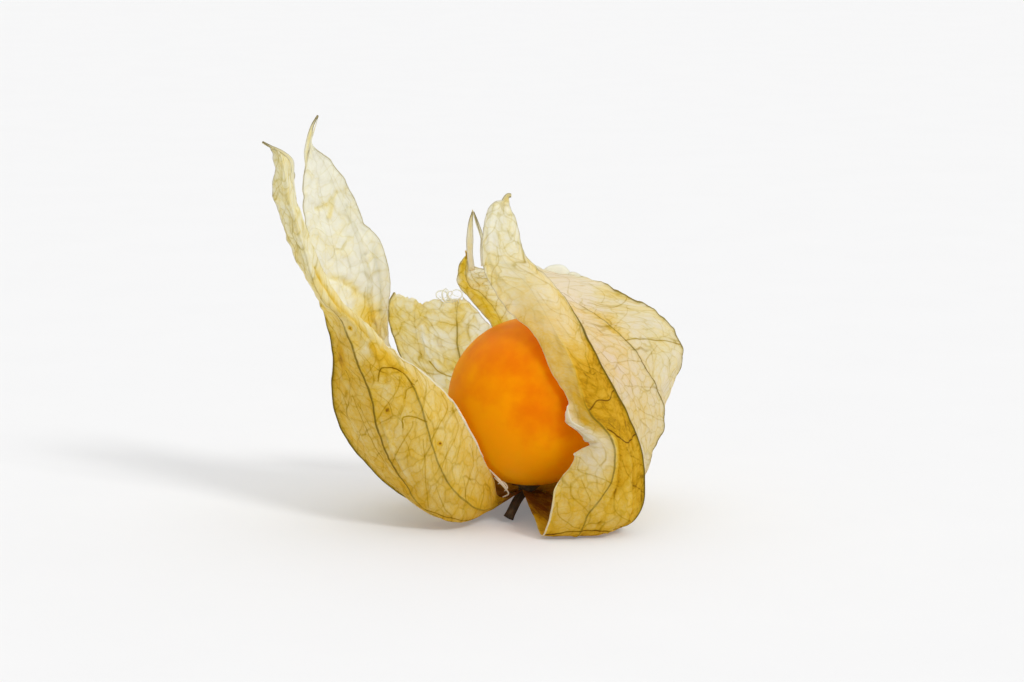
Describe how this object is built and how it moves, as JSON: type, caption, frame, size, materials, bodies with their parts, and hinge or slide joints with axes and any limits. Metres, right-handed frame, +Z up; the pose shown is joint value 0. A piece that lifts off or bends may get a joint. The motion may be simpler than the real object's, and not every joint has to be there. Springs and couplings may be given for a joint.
{
  "type": "physalis berry",
  "caption": "Round ripe berry on a short stalk inside a dry papery husk, torn open at the front, its sepals peeled to one side and hooding the berry on the other.",
  "frame": {"origin": "bottom centre of the whole fruit's box, on the surface that the husk rests on", "axes": "+Z up; the torn open side of the husk faces -Y; the two peeled sepals point to -X"},
  "size_m": [0.045, 0.0264, 0.0429],
  "materials": {
    "berry_skin": "smooth waxy orange skin, soft gloss",
    "stalk": "dry dark brown stalk, fine lengthwise wrinkles",
    "husk_ochre": "dry translucent papery husk, ochre with a net of darker veins",
    "husk_straw": "dry translucent papery husk, straw coloured with a net of darker veins",
    "husk_pale": "dry translucent papery husk, pale cream with fine veins"
  },
  "bodies": {
    "root": {"berry": "berry_skin", "stalk": "stalk", "sepal_left_front": "husk_ochre", "sepal_left_back": "husk_pale", "sepal_back": "husk_pale", "sepal_right_back": "husk_straw", "sepal_right_front": "husk_ochre"}
  },
  "joints": []
}
